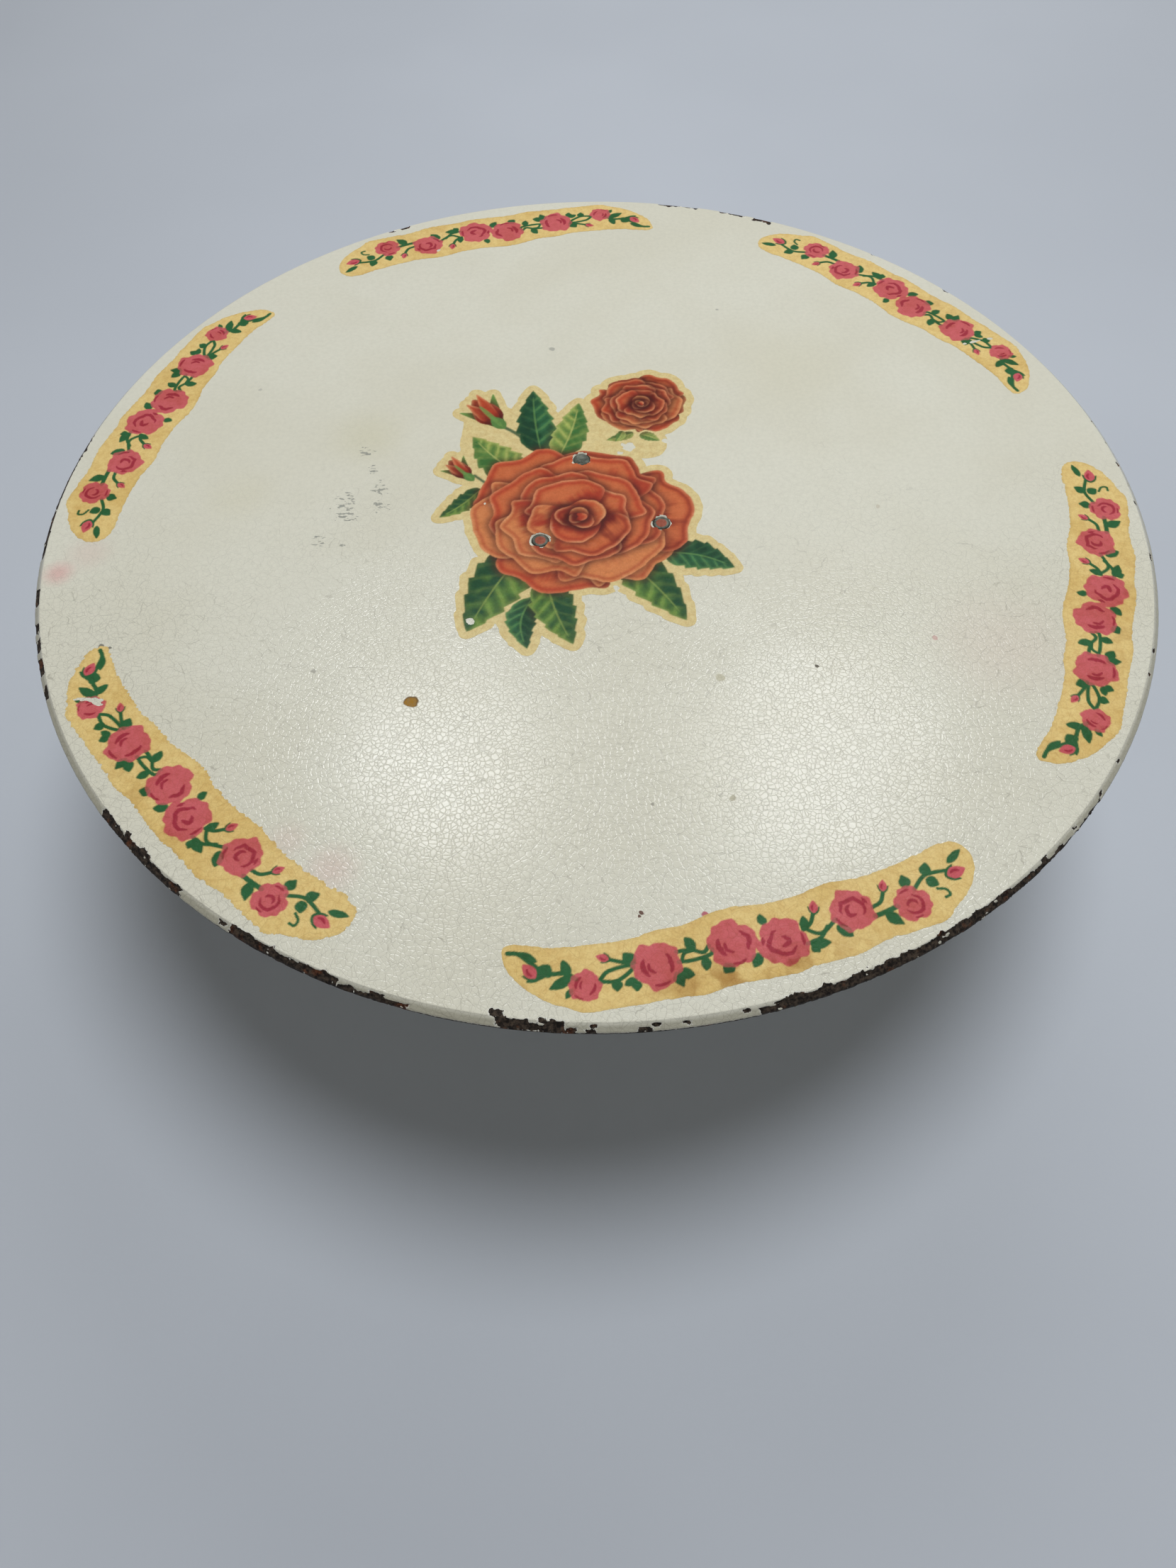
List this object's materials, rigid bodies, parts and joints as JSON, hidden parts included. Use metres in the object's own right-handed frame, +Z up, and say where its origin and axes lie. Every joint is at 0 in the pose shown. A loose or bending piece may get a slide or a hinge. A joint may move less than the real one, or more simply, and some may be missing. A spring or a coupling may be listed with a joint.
{
  "type": "cake turntable",
  "caption": "Round flat cake-decorating turntable: thin steel plate turning freely on a flared cast-iron pedestal.",
  "frame": {"origin": "on the bench under the spindle axis, at the bottom of the rubber feet", "axes": "+Z up along the spindle, -Y towards the side the rose spray faces"},
  "size_m": [0.3048, 0.3048, 0.115],
  "materials": {
    "plate_enamel": "glossy cream enamel, crazed and chipped to rusted steel at the rim",
    "painted_iron": "cream paint over cast iron, worn",
    "cast_metal": "as cast, oiled",
    "rivet_steel": "dull, tarnished",
    "ground_steel": "ground, lightly oiled",
    "bronze": "machined bearing bronze",
    "black_rubber": "matte moulded rubber"
  },
  "bodies": {
    "base": {"pedestal_casting": "painted_iron", "upper_bush": "bronze", "lower_bush": "bronze", "lower_race": "ground_steel", "foot_1": "black_rubber", "foot_2": "black_rubber", "foot_3": "black_rubber", "foot_4": "black_rubber", "foot_screw_1": "ground_steel", "foot_screw_2": "ground_steel", "foot_screw_3": "ground_steel", "foot_screw_4": "ground_steel"},
    "bearing_cage": {"ball_cage": "bronze", "ball_01": "ground_steel", "ball_02": "ground_steel", "ball_03": "ground_steel", "ball_04": "ground_steel", "ball_05": "ground_steel", "ball_06": "ground_steel", "ball_07": "ground_steel", "ball_08": "ground_steel", "ball_09": "ground_steel", "ball_10": "ground_steel"},
    "turntable": {"plate": "plate_enamel", "hub_flange": "cast_metal", "hub_pin": "ground_steel", "spindle": "ground_steel", "rivet_1": "rivet_steel", "rivet_2": "rivet_steel", "rivet_3": "rivet_steel", "upper_race": "ground_steel", "retaining_washer": "ground_steel", "retaining_clip": "ground_steel"}
  },
  "joints": [
    {"name": "plate_spin", "type": "hinge", "parent": "base", "child": "turntable", "pos_m": [0, 0, 0.115], "axis": [0, 0, 1], "continuous": true},
    {"name": "cage_spin", "type": "hinge", "parent": "base", "child": "bearing_cage", "pos_m": [0, 0, 0.093], "axis": [0, 0, 1], "continuous": true}
  ],
  "couplings": [
    {"joint": "cage_spin", "follows": "plate_spin", "ratio": 0.5}
  ]
}
